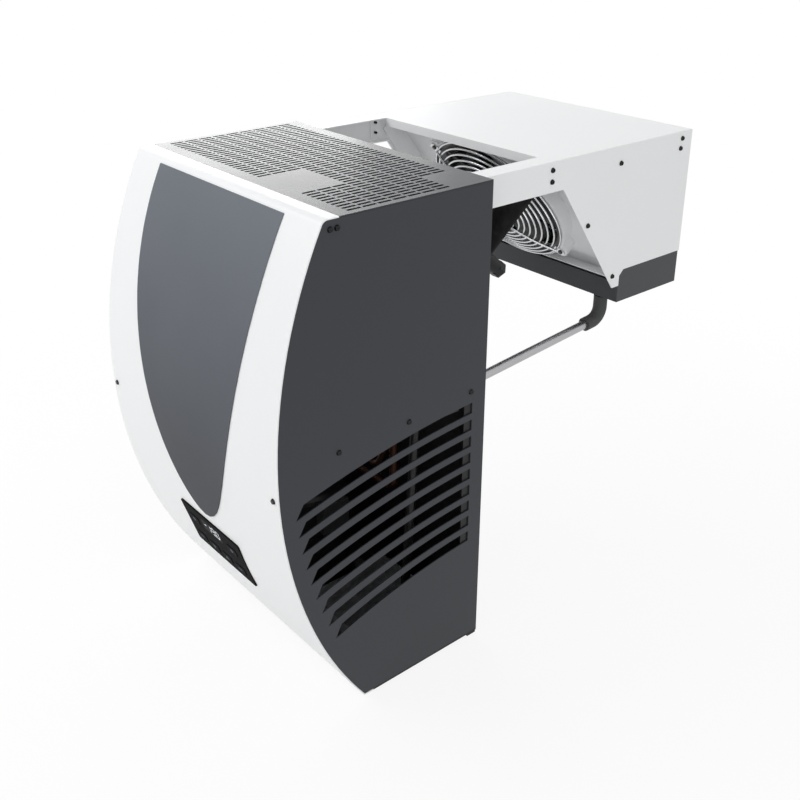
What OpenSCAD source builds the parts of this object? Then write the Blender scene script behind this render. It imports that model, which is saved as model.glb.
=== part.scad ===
// Wall-mounted refrigeration unit that straddles the top of a cold room wall.
// The condensing hood hangs outside, two arms pass over the wall and the evaporator hangs inside.
// X runs across the unit, Y from the hood towards the room and Z upwards.
// Y = 0 is the face that bears on the wall, Z = 0 the underside of the arms.

/* [Hood] */
// Width of the hood over its side panels
hood_w = 400; // [360:5:440]
// Height of the hood's top above the underside of the arms
hood_top = 44; // [42:1:60]
// Depth of the hood's bottom below the underside of the arms
hood_drop = 604; // [560:2:640]
// Radius of the bowed front
bow_r = 620; // [600:5:700]
// Greatest distance of the bowed front from the wall
bow_reach = 314; // [300:2:330]
// Height of the widest place of the bow below the arms
bow_drop = 243; // [230:1:260]
// Outer radius of the fold between front and top
fold_r = 10; // [6:0.5:14]
// Width of the band that the front cover folds over onto the top
band_w = 14.5; // [10:0.5:24]
// Sheet thickness of the front cover
cover_t = 1.5; // [1:0.1:2]
// Sheet thickness of the other hood panels
sheet_t = 1.5; // [1:0.1:2]
// Clearance between neighbouring panels
panel_gap = 0.3; // [0.1:0.05:0.5]
// Width of the flanges that the panels turn inwards
flange_w = 15; // [12:1:18]

/* [Side slots] */
// Number of curved air slots in each side panel
slot_n = 9; // [5:1:9]
// Height of one slot
slot_h = 15; // [10:0.5:16]
// Distance between slots
slot_pitch = 23.9; // [22:0.1:24.5]
// Height of the first slot's rear end below the arms
slot_drop = 246.5; // [240:0.5:250]
// Distance of the slots' rear ends from the wall
slot_rear = 22; // [20:1:40]
// Distance of the slots' tips from the bowed edge
slot_margin = 20; // [18:1:30]
// Fall of each slot from its rear end to its tip
slot_fall = 45; // [30:1:50]

/* [Top grille] */
// Length of one top slot
vent_l = 18.5; // [14:0.5:19]
// Width of one top slot
vent_w = 4.5; // [4:0.5:6]
// Distance between slots across the hood
vent_pitch_x = 9; // [8.5:0.5:12]
// Distance between rows of slots
vent_pitch_y = 21; // [20.5:0.5:23]
// Number of rows of slots
vent_rows = 9; // [6:1:9]
// Distance of the first row from the wall
vent_first = 27.5; // [24:0.5:30]

/* [Front trim and controls] */
// Width of the shield trim at its top
trim_w = 272; // [240:2:300]
// Length of the shield trim from its top edge to its tip
trim_l = 425; // [380:5:430]
// Thickness of the shield trim
trim_t = 1.2; // [0.8:0.1:2]
// Width of the control panel
panel_w = 144; // [136:2:160]
// Height of the control panel
panel_h = 76; // [74:1:82]
// Height of the control panel's middle below the arms
panel_drop = 437.5; // [435:0.5:450]
// Width of one key
key_w = 22; // [16:1:24]
// Height of one key
key_h = 12; // [9:0.5:13]
// Clearance round each key
key_gap = 0.3; // [0.2:0.05:0.5]
// Height of a key above the panel
key_proud = 0.8; // [0.6:0.1:1.2]

/* [Arms and evaporator housing] */
// Width of the evaporator housing over its side panels
evap_w = 358; // [350:2:358]
// Height of the arms
arm_h = 40; // [38:1:41]
// Clear length of the arms over the wall, measured at their underside
arm_l = 148; // [144:1:150]
// Distance of the housing's rear from the wall face
evap_rear = 414; // [410:1:430]
// Drop of the side panels' lower edge below the arms
evap_drop = 140; // [136:1:142]
// Sheet thickness of the housing
evap_t = 1.5; // [1:0.1:2]
// Width of the arms' top flanges
arm_flange = 28; // [24:1:30]
// Width of the arms' bottom flanges
seat_flange = 12; // [10:1:14]
// Distance of the top cover's front edge from the wall face
cover_y = 126; // [120:1:132]

/* [Evaporator fan] */
// Slope of the fan plate from the vertical
plate_tilt = 35.4; // [34:0.2:37]
// Depth of the fan plate behind the side panels' sloping edge
plate_inset = 36; // [34:0.5:38]
// Distance of the fan's middle down the slope from the arms
fan_s = 90.5; // [90:0.5:91.5]
// Height of the raised fan mount on the plate
mount_h = 21; // [16:0.5:22]
// Radius of the raised fan mount
mount_r = 116; // [115.5:0.5:116.5]
// Radius of the four lobes that carry the guard
lobe_r = 13; // [10:0.5:14]
// Radius of the wire guard at its outer ring
guard_r = 112; // [108:0.5:113]
// Radius of the guard's wire
wire_r = 1.6; // [1.4:0.1:2]
// Number of rings in the guard
ring_n = 12; // [8:1:13]
// Height of the guard's dome
dome_h = 20; // [16:1:26]
// Radius of the evaporator fan's blades
evap_fan_r = 100; // [90:1:102]

/* [Condenser fan] */
// Radius of the condenser fan's blades
cond_fan_r = 100; // [90:1:102]
// Running clearance between blades and ring
tip_gap = 4; // [3:0.5:6]
// Radius of the fan shafts
shaft_r = 4; // [3:0.5:5]
// Running clearance of a shaft in its motor
run_gap = 0.05; // [0.02:0.01:0.08]

/* [Drip tray and drain] */
// Height of the drip tray
tray_h = 49; // [46:1:52]
// Height of the tray's front wall
tray_front_h = 29; // [24:1:29]
// Distance of the tray's front from the wall face
tray_y = 279; // [278.5:0.1:279.2]
// Outer radius of the drain tube
drain_r = 6.5; // [5:0.25:7]
// Wall of the drain tube
drain_wall = 1; // [0.8:0.1:1.5]
// Wall of the rubber elbow
elbow_wall = 3.5; // [2.5:0.25:4]
// Fall of the drain tube towards the hood
drain_fall = 5.3; // [3:0.1:6]
// Distance of the drain from the middle of the unit
drain_x = 138; // [120:1:145]

/* [Pipes] */
// Radius of the insulated suction line
suction_r = 16; // [12:0.5:16]
// Radius of the insulated liquid line
liquid_r = 9; // [7:0.5:10]
// Radius of the cable conduit
conduit_r = 6; // [5:0.5:7]
// Radius of the copper pipes
copper_r = 5; // [4:0.5:6]
// Bore radius of the cable gland
gland_bore_r = 5; // [4:0.5:6]

/* [Wall fixing] */
// Radius of the four wall bolt holes
bolt_hole_r = 4.5; // [3.5:0.5:6]
// Distance between wall bolt holes across the hood
bolt_dx = 340; // [320:5:350]
// Distance between wall bolt holes up the hood
bolt_dz = 300; // [280:10:320]
// Height of the bolt pattern's middle below the arms
bolt_drop = 365; // [355:5:375]

/* [Hidden] */
$fn = 48;
eps = 0.01;
hood_bottom = -hood_drop;
bow_cy = bow_r - bow_reach;
bow_cz = -bow_drop;
fold_cz = hood_top - fold_r;
fold_cy = bow_cy - sqrt(pow(bow_r - fold_r, 2) - pow(fold_cz - bow_cz, 2));
fold_share = (fold_cz - bow_cz) / (bow_r - fold_r);
seam_z = bow_cz + bow_r * fold_share;
band_y = -fold_cy - band_w;
foot_y0 = bow_cy - sqrt(pow(bow_r, 2) - pow(hood_bottom - bow_cz, 2));
lip_y = foot_y0 + flange_w;
side_inset = cover_t + panel_gap;
side_in = hood_w / 2 - sheet_t;
inner_x = side_in - panel_gap;
far = 1000;

// Screws
head_r = 3.6;
head_h = 2;
shank_r = 1.9;
shank_l = 7;
shank_gap = 0.15;
front_screw_x = hood_w / 2 - 10;
front_screw_z = -268;
evap_side_screws = [[125, 29], [125, 14], [260, 16], [201, -59], [262, -145], [392, 30], [390, 16]];

// Condenser air path
shroud_z = -22;
shroud_y1 = -sheet_t - panel_gap;
rear_flange = 34;
shroud_x = hood_w / 2 - 2 * sheet_t - 2 * panel_gap;
orifice_r = cond_fan_r + tip_gap;
cond_fan_y = -orifice_r - 13;
shroud_y0 = cond_fan_y - orifice_r - 11;
ring_h = 26;
cond_coil_x = hood_w / 2 - 40;
cond_coil_y0 = -bow_reach + 76;
cond_coil_y1 = -44;
cond_coil_z0 = -190;
cond_coil_z1 = -130;
hood_side_screws = [[cond_coil_y0 + 112, cond_coil_z0 - 40], [cond_coil_y0 + 8, cond_coil_z0 - 43],
    [-25, -223], [fold_cy + 2.5, fold_cz - 2], [fold_cy + 11.5, fold_cz - 2]];
motor_r = 40;
motor_l = 48;
hub_r = 34;
hub_h = 24;
shaft_out = 34;
bore_depth = 24;
bracket_t = 2.5;

// Compressor and pan on the base
base_t = 2;
base_z = hood_bottom + base_t;
comp_x = -hood_w / 2 + 125;
comp_y = lip_y / 2 - 8.5;
comp_r = 72;
comp_h = 170;
grommet_h = 12;
grommet_r = 11;
foot_t = 3;
foot_x = 70;
foot_y = -lip_y / 2 - 37.5;
stud_r = 3.5;
pan_x0 = comp_x + foot_x + 35;
pan_x1 = hood_w / 2 - 20;
pan_y0 = -165;
pan_y1 = -25;
pan_h = 40;
pan_t = 1.5;
hem_d = 15;
hem_h = 5;

// Controls
panel_angle = asin((-panel_drop - bow_cz) / bow_r);
panel_sag = pow(panel_h / 2, 2) / 2 / bow_r;
panel_face = 1;
panel_corner = 3;
tub_wall = 2;
tub_depth = 46;
tub_front = cover_t + 2 * panel_sag;
board_n = -11;
board_t = 1.6;
key_places = [[-52, -22], [-20, -22], [12, -22], [44, -22], [-50, 13], [44, 13]];
window_w = 46;
window_h = 20;
window_x = -2;
window_y = 20;
window_t = 2;

// Evaporator housing
evap_x = evap_w / 2;
evap_in = evap_x - evap_t;
arm_top = arm_h;
slope_h = evap_drop + 23;
toe_y = arm_l + slope_h * tan(plate_tilt);
toe_w = 14;
toe_notch = 22;
cover_lip = 12;
plate_t = 1.5;
plate_lip = 25.4;
plate_neck = 25;
plate_flange = 31;
plate_flange_s = 188;
lobe_at = 116 * cos(45);
guard_screw_r = 119;
guard_screw_at = guard_screw_r * cos(45);
orifice_evap_r = evap_fan_r + tip_gap;
guard_n = wire_r;
lug_r = 7;
plate_y0 = arm_l + plate_inset * cos(plate_tilt);
plate_z0 = plate_inset * sin(plate_tilt);
plate_s0 = -(arm_top - evap_t - panel_gap - (plate_inset + plate_t) * sin(plate_tilt)) / cos(plate_tilt);
plate_s1 = (evap_drop + 18 + plate_z0) / cos(plate_tilt);
tray_z0 = -evap_drop - tray_h;
tray_t = 1.2;
coil_x = evap_x - 24;
coil_y0 = 326;
coil_y1 = 398;
coil_z0 = -132;
coil_z1 = 26;

// Drain
nozzle_y = tray_y + 14;
nozzle_z = tray_z0 - 8;
drain_z = -228.2;
elbow_bend = 20;
tube_in = 14;
drain_dir = [-cos(drain_fall), -sin(drain_fall)];
drain_end_y = -60;
drain_end = [drain_end_y, drain_z - (nozzle_y - drain_end_y) * tan(drain_fall)];
elbow_end = [nozzle_y, drain_z] + 33 * drain_dir;
grommet_lip = 3;

// Insulated lines over the wall
gland_x = min(evap_x - 3, hood_w / 2 - 24);
suction_x = gland_x - 30;
liquid_x = suction_x - 28;
conduit_x = suction_x - 34;
line_rise = 40;
line_in_y = -7;
line_out_y = 14;
line_end_y = 214;
suction_z = -81;
suction_top = 8;
liquid_z = suction_z + 27;
liquid_top = suction_top + 1;
conduit_z = suction_z - 9;
conduit_top = suction_top - 16;
line_bend = 30;
suction_pipe_y = -21;
liquid_pipe_y = -37;
gland_z = suction_z + 27;
gland_tilt = 40;
gland_l = 36;

// A drawing whose x is the unit's Y and whose y is its Z, made solid across X
module across(length, x = 0) {
    translate([x, 0, 0]) rotate([90, 0, 90]) linear_extrude(length, center = true) children();
}

// Places its children on the bowed front at height z, with local Z outwards and local Y upwards
module on_front(z) {
    a = asin((z - bow_cz) / bow_r);
    translate([0, bow_cy - bow_r * cos(a), z]) rotate([90 - a, 0, 0]) children();
}

// Places its children on the fan's axis, with local Z out of the fan plate and local Y up the slope
module on_plate(n = 0) {
    translate([0, arm_l, 0]) rotate([90 + plate_tilt, 0, 0]) translate([0, -fan_s, n - plate_inset])
        children();
}

// Places its children once on each side, the second one mirrored
module both_sides() {
    children();
    mirror([1, 0, 0]) children();
}

module rounded_plate(w, h, t, r) {
    linear_extrude(t) rounded_rect(w, h, r);
}

module rounded_rect(w, h, r) {
    square([w - 2 * r, h], center = true);
    square([w, h - 2 * r], center = true);
    for (x = [-1, 1], y = [-1, 1]) translate([x * (w / 2 - r), y * (h / 2 - r)]) circle(r);
}

module tube(r, wall, h) {
    difference() {
        cylinder(r = r, h = h);
        translate([0, 0, -eps]) cylinder(r = r - wall, h = h + 2 * eps);
    }
}

function unit(v) = v / norm(v);
function corner_angle(p, i) = acos(max(-1, min(1, unit(p[i] - p[i - 1]) * unit(p[i + 1] - p[i]))));
function corner_cut(p, i, bend) = i == 0 || i == len(p) - 1 ? 0 : bend * tan(corner_angle(p, i) / 2);

bend_step = 0.06;
bend_lap = 0.3;

// A round bar along straight runs through the points p, with bends of one radius between them.
// The bends are a hair thicker than the runs, which reach a little way into them.
module bent_bar(p, r, bend) {
    for (i = [0 : len(p) - 2]) {
        d = unit(p[i + 1] - p[i]);
        a = p[i] + (i == 0 ? 0 : corner_cut(p, i, bend) - bend_lap) * d;
        b = p[i + 1] - (i == len(p) - 2 ? 0 : corner_cut(p, i + 1, bend) - bend_lap) * d;
        translate(a) rotate([0, acos(d[2]), atan2(d[1], d[0])]) cylinder(r = r, h = norm(b - a));
        if (i > 0) {
            e = unit(p[i] - p[i - 1]);
            n = unit(d - (d * e) * e);
            c = p[i] - corner_cut(p, i, bend) * e + bend * n;
            k = cross(-n, e);
            multmatrix([[-n[0], e[0], k[0], c[0]], [-n[1], e[1], k[1], c[1]], [-n[2], e[2], k[2], c[2]],
                [0, 0, 0, 1]])
                rotate_extrude(angle = corner_angle(p, i)) translate([bend, 0]) circle(r + bend_step);
        }
    }
}

// A pan-head screw whose head sits on the plane z = 0 and points up
module screw() {
    cylinder(r1 = head_r, r2 = head_r - 0.8, h = head_h);
    translate([0, 0, -shank_l]) cylinder(r = shank_r, h = shank_l);
}

module screw_hole() {
    translate([0, 0, -shank_l - 1]) cylinder(r = shank_r + shank_gap, h = shank_l + 2);
}

// Section of the hood in Y and Z, inset by the given distance from its outer skin
module hood_outline(inset) {
    r = bow_r - inset;
    seam = bow_cz + r * fold_share;
    intersection() {
        translate([bow_cy, bow_cz]) circle(r);
        translate([-far, hood_bottom + inset]) square([far, seam - hood_bottom - inset]);
    }
    translate([fold_cy, fold_cz]) circle(fold_r - inset);
    translate([fold_cy, fold_cz - fold_r]) square([-fold_cy, 2 * fold_r - inset]);
}

// Front of the hood

module front_region() {
    translate([-far, hood_bottom - 1]) square([far + lip_y, -hood_bottom + 1]);
    translate([-far, -1]) square([far - band_y, hood_top + 2]);
}

module front_cover() {
    color([0.93, 0.93, 0.93]) difference() {
        across(hood_w) intersection() {
            difference() {
                hood_outline(0);
                hood_outline(cover_t);
            }
            front_region();
        }
        on_front(-panel_drop) translate([0, 0, -15])
            linear_extrude(20) square([panel_w - 2, panel_h - 2], center = true);
        both_sides() translate([front_screw_x, 0, 0]) on_front(front_screw_z) screw_hole();
    }
}

function bezier(a, b, c, d, t) =
    pow(1 - t, 3) * a + 3 * t * pow(1 - t, 2) * b + 3 * t * t * (1 - t) * c + pow(t, 3) * d;

trim_steps = 16;
trim_top = seam_z - 2;
trim_half = [for (i = [0 : trim_steps]) bezier([trim_w / 2, 0], [trim_w / 2, -0.47 * trim_l],
    [trim_w / 4, -trim_l], [0, -trim_l], i / trim_steps)];

module front_trim() {
    color([0.42, 0.44, 0.46]) intersection() {
        translate([0, bow_cy, bow_cz]) rotate([0, 90, 0]) difference() {
            cylinder(r = bow_r + trim_t, h = hood_w, center = true, $fn = 180);
            cylinder(r = bow_r + eps, h = hood_w + 2, center = true, $fn = 180);
        }
        translate([0, -bow_reach / 2, trim_top]) rotate([90, 0, 0]) linear_extrude(bow_reach)
            polygon(concat(trim_half,
                [for (i = [trim_steps - 1 : -1 : 0]) [-trim_half[i][0], trim_half[i][1]]]));
    }
}

// Controls

module key_hole(i, gap) {
    translate([key_places[i][0], key_places[i][1]]) rounded_rect(key_w + 2 * gap, key_h + 2 * gap, 2);
}

// What lies under the bowed front at the panel, with short flats along the bow
module under_panel(half, flats) {
    rotate([90, 0, 90]) linear_extrude(hood_w, center = true)
        polygon(concat([[half, -25], [-half, -25]],
            [for (i = [0 : flats]) let (y = half * (2 * i / flats - 1))
                [y, sqrt(pow(bow_r + 0.04, 2) - y * y) - bow_r]]));
}

module control_panel() {
    color([0.05, 0.05, 0.06]) on_front(-panel_drop) difference() {
        union() {
            difference() {
                translate([0, 0, -panel_sag])
                    rounded_plate(panel_w, panel_h, panel_face + panel_sag, panel_corner);
                under_panel(panel_h / 2 + 3, 12);
            }
            translate([0, 0, board_n]) linear_extrude(-board_n + panel_face / 2) difference() {
                square([panel_w - 3, panel_h - 3], center = true);
                square([panel_w - 7, panel_h - 7], center = true);
            }
        }
        for (i = [0 : len(key_places) - 1]) translate([0, 0, -6]) linear_extrude(12) key_hole(i, key_gap);
        translate([window_x, window_y, -6]) linear_extrude(12)
            square([window_w + panel_gap, window_h + panel_gap], center = true);
    }
}

module display_window() {
    color([0.2, 0.02, 0.02, 0.8]) on_front(-panel_drop)
        translate([window_x, window_y, panel_face + 0.2 - window_t])
        linear_extrude(window_t) square([window_w, window_h], center = true);
}

module key(i) {
    color([0.35, 0.36, 0.38]) on_front(-panel_drop) {
        translate([0, 0, -3]) linear_extrude(3 + panel_face + key_proud) key_hole(i, 0);
        translate([key_places[i][0], key_places[i][1], board_n + board_t + 2])
            cylinder(r = 2.5, h = -board_n - board_t - 4);
    }
}

module control_board() {
    color([0.1, 0.35, 0.15]) on_front(-panel_drop) {
        translate([0, 0, board_n]) linear_extrude(board_t)
            square([panel_w - 8, panel_h - 8], center = true);
        translate([window_x, window_y, board_n + board_t])
            linear_extrude(-board_n - board_t + panel_face + 0.2 - window_t)
                square([window_w - 4, window_h - 4], center = true);
        for (p = key_places) translate([p[0], p[1], board_n + board_t]) cylinder(r = 3, h = 1);
    }
}

module control_box() {
    color([0.25, 0.26, 0.28]) on_front(-panel_drop) difference() {
        translate([0, 0, -tub_depth]) linear_extrude(tub_depth - tub_front)
            square([panel_w + 6, panel_h + 6], center = true);
        translate([0, 0, -tub_depth + tub_wall]) linear_extrude(tub_depth)
            square([panel_w + 6 - 2 * tub_wall, panel_h + 6 - 2 * tub_wall], center = true);
        translate([panel_w / 3, 0, -tub_depth + 12]) rotate([-90, 0, 0]) cylinder(r = 8, h = panel_h);
    }
}

// Hood panels

function slot_tip_z(k) = -slot_drop - slot_pitch * k - slot_fall - slot_h / 2;
function slot_tip_y(k) = bow_cy - sqrt(pow(bow_r - slot_margin, 2) - pow(slot_tip_z(k) - bow_cz, 2));
function slot_line(k, t) = [-slot_rear + t * (slot_tip_y(k) + slot_rear),
    -slot_drop - slot_pitch * k - slot_fall * (0.35 * t + 0.65 * t * t)];

slot_steps = 12;
module side_slot(k) {
    polygon(concat([for (i = [0 : slot_steps]) slot_line(k, 0.96 * i / slot_steps) + [0, slot_h / 2]],
        [for (i = [slot_steps : -1 : 0]) slot_line(k, i / slot_steps) - [0, slot_h / 2]]));
}

module side_panel() {
    translate([side_in, 0, 0]) difference() {
        union() {
            across(sheet_t, sheet_t / 2) intersection() {
                hood_outline(side_inset);
                translate([-far, hood_bottom + base_t + panel_gap])
                    square([far, hood_drop + hood_top - base_t - sheet_t - 2 * panel_gap]);
            }
            across(flange_w, -flange_w / 2) intersection() {
                difference() {
                    hood_outline(side_inset);
                    hood_outline(side_inset + sheet_t);
                }
                translate([-far, hood_bottom + 30]) square([far - band_y, hood_drop]);
            }
        }
        for (k = [0 : slot_n - 1]) across(3 * sheet_t, sheet_t / 2) side_slot(k);
        for (p = hood_side_screws) translate([sheet_t, p[0], p[1]]) rotate([0, 90, 0]) screw_hole();
        translate([front_screw_x - side_in, 0, 0]) on_front(front_screw_z) screw_hole();
    }
}

module side_panel_left() {
    color([0.27, 0.28, 0.29]) mirror([1, 0, 0]) side_panel();
}

module side_panel_right() {
    color([0.27, 0.28, 0.29]) side_panel();
}

vent_n = floor((hood_w - 13) / vent_pitch_x);
label_x = hood_w / 2 - 60;
label_y = 59;
front_plain_x = [20, 102];
front_plain_y = 150;
function vent_x(i) = (i - (vent_n - 1) / 2) * vent_pitch_x;
vent_fit = floor((band_y - vent_first - vent_l / 2 - 4) / vent_pitch_y) + 1;
function vent_y(row) = -vent_first - row * vent_pitch_y;
function is_plain(x, y) = (x > label_x && y > -label_y)
    || (x > front_plain_x[0] && x < front_plain_x[1] && y < -front_plain_y);

module top_grille() {
    color([0.47, 0.48, 0.5]) translate([0, 0, hood_top - sheet_t]) linear_extrude(sheet_t) difference() {
        translate([-hood_w / 2, -band_y + panel_gap]) square([hood_w, band_y - panel_gap]);
        for (row = [0 : min(vent_rows, vent_fit) - 1], i = [0 : vent_n - 1])
            if (!is_plain(vent_x(i), vent_y(row)))
                translate([vent_x(i), vent_y(row)]) square([vent_w, vent_l], center = true);
    }
}

module back_plate() {
    plate_top = hood_top - sheet_t - panel_gap;
    color([0.27, 0.28, 0.29]) difference() {
        union() {
            translate([-inner_x, -sheet_t, base_z + panel_gap])
                cube([2 * inner_x, sheet_t, plate_top - base_z - panel_gap]);
            both_sides() translate([inner_x - sheet_t, -rear_flange, base_z + panel_gap])
                cube([sheet_t, rear_flange, plate_top - base_z - panel_gap]);
            translate([-inner_x, -flange_w, plate_top - sheet_t]) cube([2 * inner_x, flange_w, sheet_t]);
        }
        for (x = [-1, 1], z = [-1, 1])
            rear_hole(x * bolt_dx / 2, -bolt_drop + z * bolt_dz / 2, bolt_hole_r);
        rear_hole(suction_x, suction_z, suction_r + grommet_lip);
        rear_hole(liquid_x, liquid_z, liquid_r + grommet_lip);
        rear_hole(conduit_x, conduit_z, conduit_r + grommet_lip);
        rear_hole(drain_x, drain_wall_z, drain_r + grommet_lip);
        rear_hole(gland_x, gland_z, gland_bore_r + 3 + shank_gap);
        both_sides() for (z = arm_bolt_z) rear_hole(arm_bolt_x, z, 3 + shank_gap);
        both_sides() translate([side_in + sheet_t, hood_side_screws[2][0], hood_side_screws[2][1]])
            rotate([0, 90, 0]) screw_hole();
    }
}

module rear_hole(x, z, r) {
    translate([x, 1, z]) rotate([90, 0, 0]) cylinder(r = r, h = sheet_t + 2);
}

module base_plate() {
    color([0.2, 0.2, 0.21]) difference() {
        union() {
            translate([-hood_w / 2, lip_y + panel_gap, hood_bottom])
                cube([hood_w, -lip_y - panel_gap, base_t]);
            translate([-side_in, -hem_d, hood_bottom - hem_h]) cube([2 * side_in, hem_d, hem_h]);
            translate([-inner_x + 20, lip_y + 5, base_z - eps]) cube([2 * inner_x - 40, sheet_t, 12]);
        }
        for (p = foot_points) translate([p[0], p[1], hood_bottom - 1]) cylinder(r = stud_r, h = base_t + 2);
        for (x = [-120 : 40 : 120]) translate([x, -90, hood_bottom - 1]) cylinder(r = 4, h = base_t + 2);
    }
}

// Condenser and its fan

// Fins drawn as a comb on both sides of a thin spine
module fin_comb(length, depth, pitch, fin, spine) {
    n = floor(length / pitch);
    translate([-length / 2, -spine / 2]) square([length, spine]);
    for (i = [0 : n]) translate([-n * pitch / 2 + i * pitch - fin / 2, -depth / 2]) square([fin, depth]);
}

module condenser_coil() {
    depth = cond_coil_z1 - cond_coil_z0;
    color([0.75, 0.76, 0.77])
        translate([0, (cond_coil_y0 + cond_coil_y1) / 2, (cond_coil_z0 + cond_coil_z1) / 2])
        rotate([90, 0, 0]) linear_extrude(cond_coil_y1 - cond_coil_y0, center = true)
            fin_comb(2 * cond_coil_x + 1.2, depth, 8, 1.2, 24);
}

module u_bend(pitch, r, leg) {
    bent_bar([[0, 0, 0], [leg, 0, 0], [leg, pitch, 0], [0, pitch, 0]], r, pitch / 2 - eps);
}

module condenser_tubes() {
    pitch = 25;
    color([0.72, 0.42, 0.25]) both_sides() for (i = [0 : 3])
        translate([cond_coil_x + 0.7, cond_coil_y0 + 12 + i * 2 * pitch, (cond_coil_z0 + cond_coil_z1) / 2])
            u_bend(pitch, copper_r, 20);
}

module condenser_brackets() {
    x = cond_coil_x + 0.9;
    depth = cond_coil_y1 - cond_coil_y0;
    color([0.27, 0.28, 0.29]) both_sides() difference() {
        union() {
            translate([x, cond_coil_y0, cond_coil_z0]) cube([2, depth, cond_coil_z1 - cond_coil_z0]);
            translate([x, cond_coil_y0, cond_coil_z0]) cube([inner_x - x, depth, 2]);
            translate([inner_x - 2, cond_coil_y0, cond_coil_z0 - 54]) cube([2, depth, 56]);
        }
        for (i = [0 : 7]) translate([x - 1, cond_coil_y0 + 12 + i * 25, (cond_coil_z0 + cond_coil_z1) / 2])
            rotate([0, 90, 0]) cylinder(r = copper_r + 0.4, h = 6);
        for (k = [0, 1]) translate([side_in + sheet_t, hood_side_screws[k][0], hood_side_screws[k][1]])
            rotate([0, 90, 0]) screw_hole();
    }
}

module condenser_shroud() {
    color([0.3, 0.31, 0.32]) difference() {
        union() {
            translate([-shroud_x, shroud_y0, shroud_z])
                cube([2 * shroud_x, shroud_y1 - shroud_y0, sheet_t]);
            both_sides() translate([shroud_x - sheet_t, shroud_y0, shroud_z])
                cube([sheet_t, shroud_y1 - shroud_y0, flange_w]);
            translate([0, cond_fan_y, shroud_z]) cylinder(r = orifice_r + 3, h = ring_h);
        }
        translate([0, cond_fan_y, shroud_z - 1]) cylinder(r = orifice_r, h = ring_h + 2);
        for (a = [45 : 90 : 315]) translate([0, cond_fan_y, 0]) rotate(a)
            translate([orifice_r + 12, 0, shroud_z - 1]) cylinder(r = shank_r + shank_gap, h = sheet_t + 2);
    }
}

// A motor can with its shaft end at z = 0, a shaft bore and cooling ribs on its back
module motor() {
    difference() {
        union() {
            translate([0, 0, -motor_l]) cylinder(r = motor_r, h = motor_l - 4);
            translate([0, 0, -4]) cylinder(r1 = motor_r, r2 = motor_r - 6, h = 4);
            translate([0, 0, -motor_l - 6]) cylinder(r1 = motor_r - 14, r2 = motor_r - 8, h = 6);
            for (a = [0 : 30 : 330]) rotate(a) translate([motor_r - 1, -1.5, -motor_l + 8])
                cube([4, 3, motor_l - 16]);
        }
        translate([0, 0, -bore_depth]) cylinder(r = shaft_r + run_gap, h = bore_depth + 1);
    }
}

// Legs at the given angles from a ring under the motor up to the plate at height top, at radius reach
module motor_bracket(reach, top, angles) {
    difference() {
        union() {
            cylinder(r = motor_r - 4, h = bracket_t);
            for (a = angles) rotate(a) {
                translate([motor_r - 12, -8, 0]) cube([reach - motor_r + 20, 16, bracket_t]);
                translate([reach + 8 - bracket_t, -8, 0]) cube([bracket_t, 16, top]);
                translate([reach - 8, -8, top - bracket_t]) cube([16, 16, bracket_t]);
            }
        }
        translate([0, 0, -1]) cylinder(r = motor_r - 16, h = bracket_t + 2);
        for (a = angles) rotate(a) translate([reach, 0, top - bracket_t - 1])
            cylinder(r = shank_r + shank_gap, h = bracket_t + 2);
    }
}

// Hub at z = 0 to hub_h with cambered blades out to radius r
module axial_fan(r, blades, pitch, turn) {
    camber_r = 95;
    difference() {
        union() {
            cylinder(r = hub_r, h = hub_h - 4);
            translate([0, 0, hub_h - 4]) cylinder(r1 = hub_r, r2 = hub_r - 5, h = 4);
            for (i = [0 : blades - 1]) rotate(i * 360 / blades) intersection() {
                difference() {
                    cylinder(r = r, h = hub_h * 2, center = true);
                    cylinder(r = hub_r - 3, h = hub_h * 2 + 2, center = true);
                }
                translate([0, 0, hub_h / 2]) rotate([turn * pitch, 0, 0]) intersection() {
                    translate([0, 0, -camber_r]) rotate([0, 90, 0]) difference() {
                        cylinder(r = camber_r + 1.6, h = r + 1);
                        translate([0, 0, -1]) cylinder(r = camber_r, h = r + 3);
                    }
                    translate([0, 0, -20]) linear_extrude(40)
                        polygon([[hub_r - 6, -13], [r + 1, -32], [r + 1, 24], [hub_r - 6, 13]]);
                }
            }
        }
        translate([0, 0, -hub_h]) cylinder(r = shaft_r, h = 3 * hub_h);
    }
}

cond_motor_z = shroud_z - 4;
module condenser_motor() {
    color([0.35, 0.36, 0.38]) translate([0, cond_fan_y, cond_motor_z]) motor();
}

module condenser_motor_bracket() {
    color([0.55, 0.56, 0.58]) translate([0, cond_fan_y, cond_motor_z - motor_l - 6 - bracket_t]) rotate(45)
        motor_bracket(orifice_r + 12, shroud_z - cond_motor_z + motor_l + 6 + bracket_t, [0 : 90 : 270]);
}

module condenser_fan() {
    color([0.12, 0.12, 0.13]) translate([0, cond_fan_y, cond_motor_z + 8]) axial_fan(cond_fan_r, 5, 28, 1);
}

module condenser_fan_shaft() {
    color([0.7, 0.7, 0.72]) translate([0, cond_fan_y, cond_motor_z - bore_depth + 1])
        cylinder(r = shaft_r, h = bore_depth + shaft_out);
}

// Compressor, pipes and pan

foot_points = [for (x = [-1, 1], y = [-1, 1]) [comp_x + x * foot_x, comp_y + y * foot_y]];
foot_z = base_z + grommet_h;
pipe_stubs = [[comp_x - 45, comp_y + 40], [comp_x + 50, comp_y + 35]];
stub_z = foot_z + comp_h - 8;

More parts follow.
